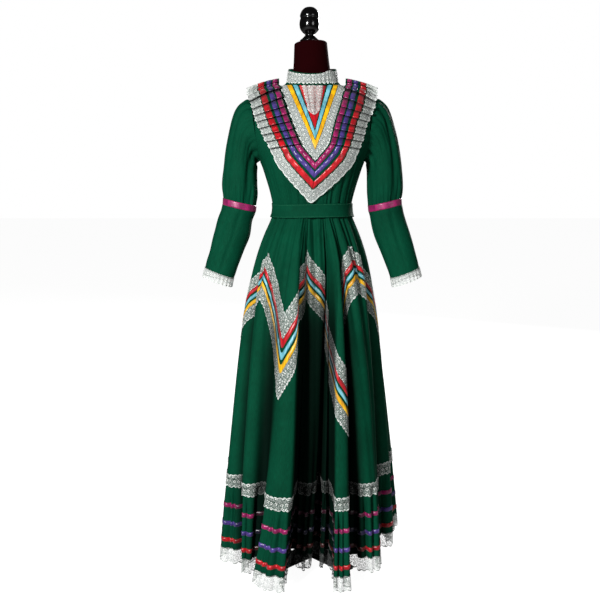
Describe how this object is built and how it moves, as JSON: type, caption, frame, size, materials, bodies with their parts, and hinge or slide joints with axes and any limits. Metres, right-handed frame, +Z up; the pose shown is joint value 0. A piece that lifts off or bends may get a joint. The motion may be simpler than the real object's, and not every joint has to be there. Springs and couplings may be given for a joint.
{
  "type": "jalisco dress on a dress form",
  "caption": "Long green folk dance dress with ribbon and lace V bib, pleated ruffle, zigzag skirt trim and flounce, on a limbless dress form with a stand.",
  "frame": {"origin": "on the floor, at the middle of the stand's foot, under the pole", "axes": "+Z up, the front of the dress faces -Y, +X is the wearer's left"},
  "size_m": [0.626, 0.5913, 1.6093],
  "materials": {
    "green_cotton": "matt plain weave",
    "white_lace": "open floral lace",
    "scarlet_satin": "satin ribbon",
    "sky_satin": "satin ribbon",
    "gold_satin": "satin ribbon",
    "magenta_satin": "satin ribbon",
    "violet_satin": "satin ribbon",
    "form_cover": "dark maroon velvet",
    "form_knob": "black gloss",
    "form_steel": "black satin"
  },
  "bodies": {
    "root": {"form_body": "form_cover", "form_finial": "form_knob", "form_foot": "form_steel", "form_pole": "form_steel", "bodice_front": "green_cotton", "bodice_back": "green_cotton", "collar": "green_cotton", "collar_lace": "white_lace", "bib_lace_v": "white_lace", "bib_ribbon_gold": "gold_satin", "bib_ribbon_sky": "sky_satin", "bib_panel_scarlet": "scarlet_satin", "bib_lace_centre": "white_lace", "ruffle": "green_cotton", "ruffle_ribbon_magenta": "magenta_satin", "ruffle_ribbon_violet": "violet_satin", "ruffle_ribbon_scarlet": "scarlet_satin", "ruffle_lace": "white_lace", "belt": "green_cotton", "zigzag_lace_upper": "white_lace", "zigzag_ribbon_scarlet": "scarlet_satin", "zigzag_ribbon_sky": "sky_satin", "zigzag_ribbon_gold": "gold_satin", "zigzag_lace_lower": "white_lace", "seam_lace": "white_lace", "flounce_ribbon_magenta": "magenta_satin", "flounce_ribbon_violet": "violet_satin", "flounce_ribbon_scarlet": "scarlet_satin", "sleeve_upper_right": "green_cotton", "sleeve_band_right": "magenta_satin", "sleeve_lower_right": "green_cotton", "cuff_lace_right": "white_lace", "sleeve_upper_left": "green_cotton", "sleeve_band_left": "magenta_satin", "sleeve_lower_left": "green_cotton", "cuff_lace_left": "white_lace", "skirt_front_right": "green_cotton", "flounce_front_right": "green_cotton", "hem_lace_front_right": "white_lace", "skirt_front_left": "green_cotton", "flounce_front_left": "green_cotton", "hem_lace_front_left": "white_lace", "skirt_back_left": "green_cotton", "flounce_back_left": "green_cotton", "hem_lace_back_left": "white_lace", "skirt_back_right": "green_cotton", "flounce_back_right": "green_cotton", "hem_lace_back_right": "white_lace"}
  },
  "joints": []
}
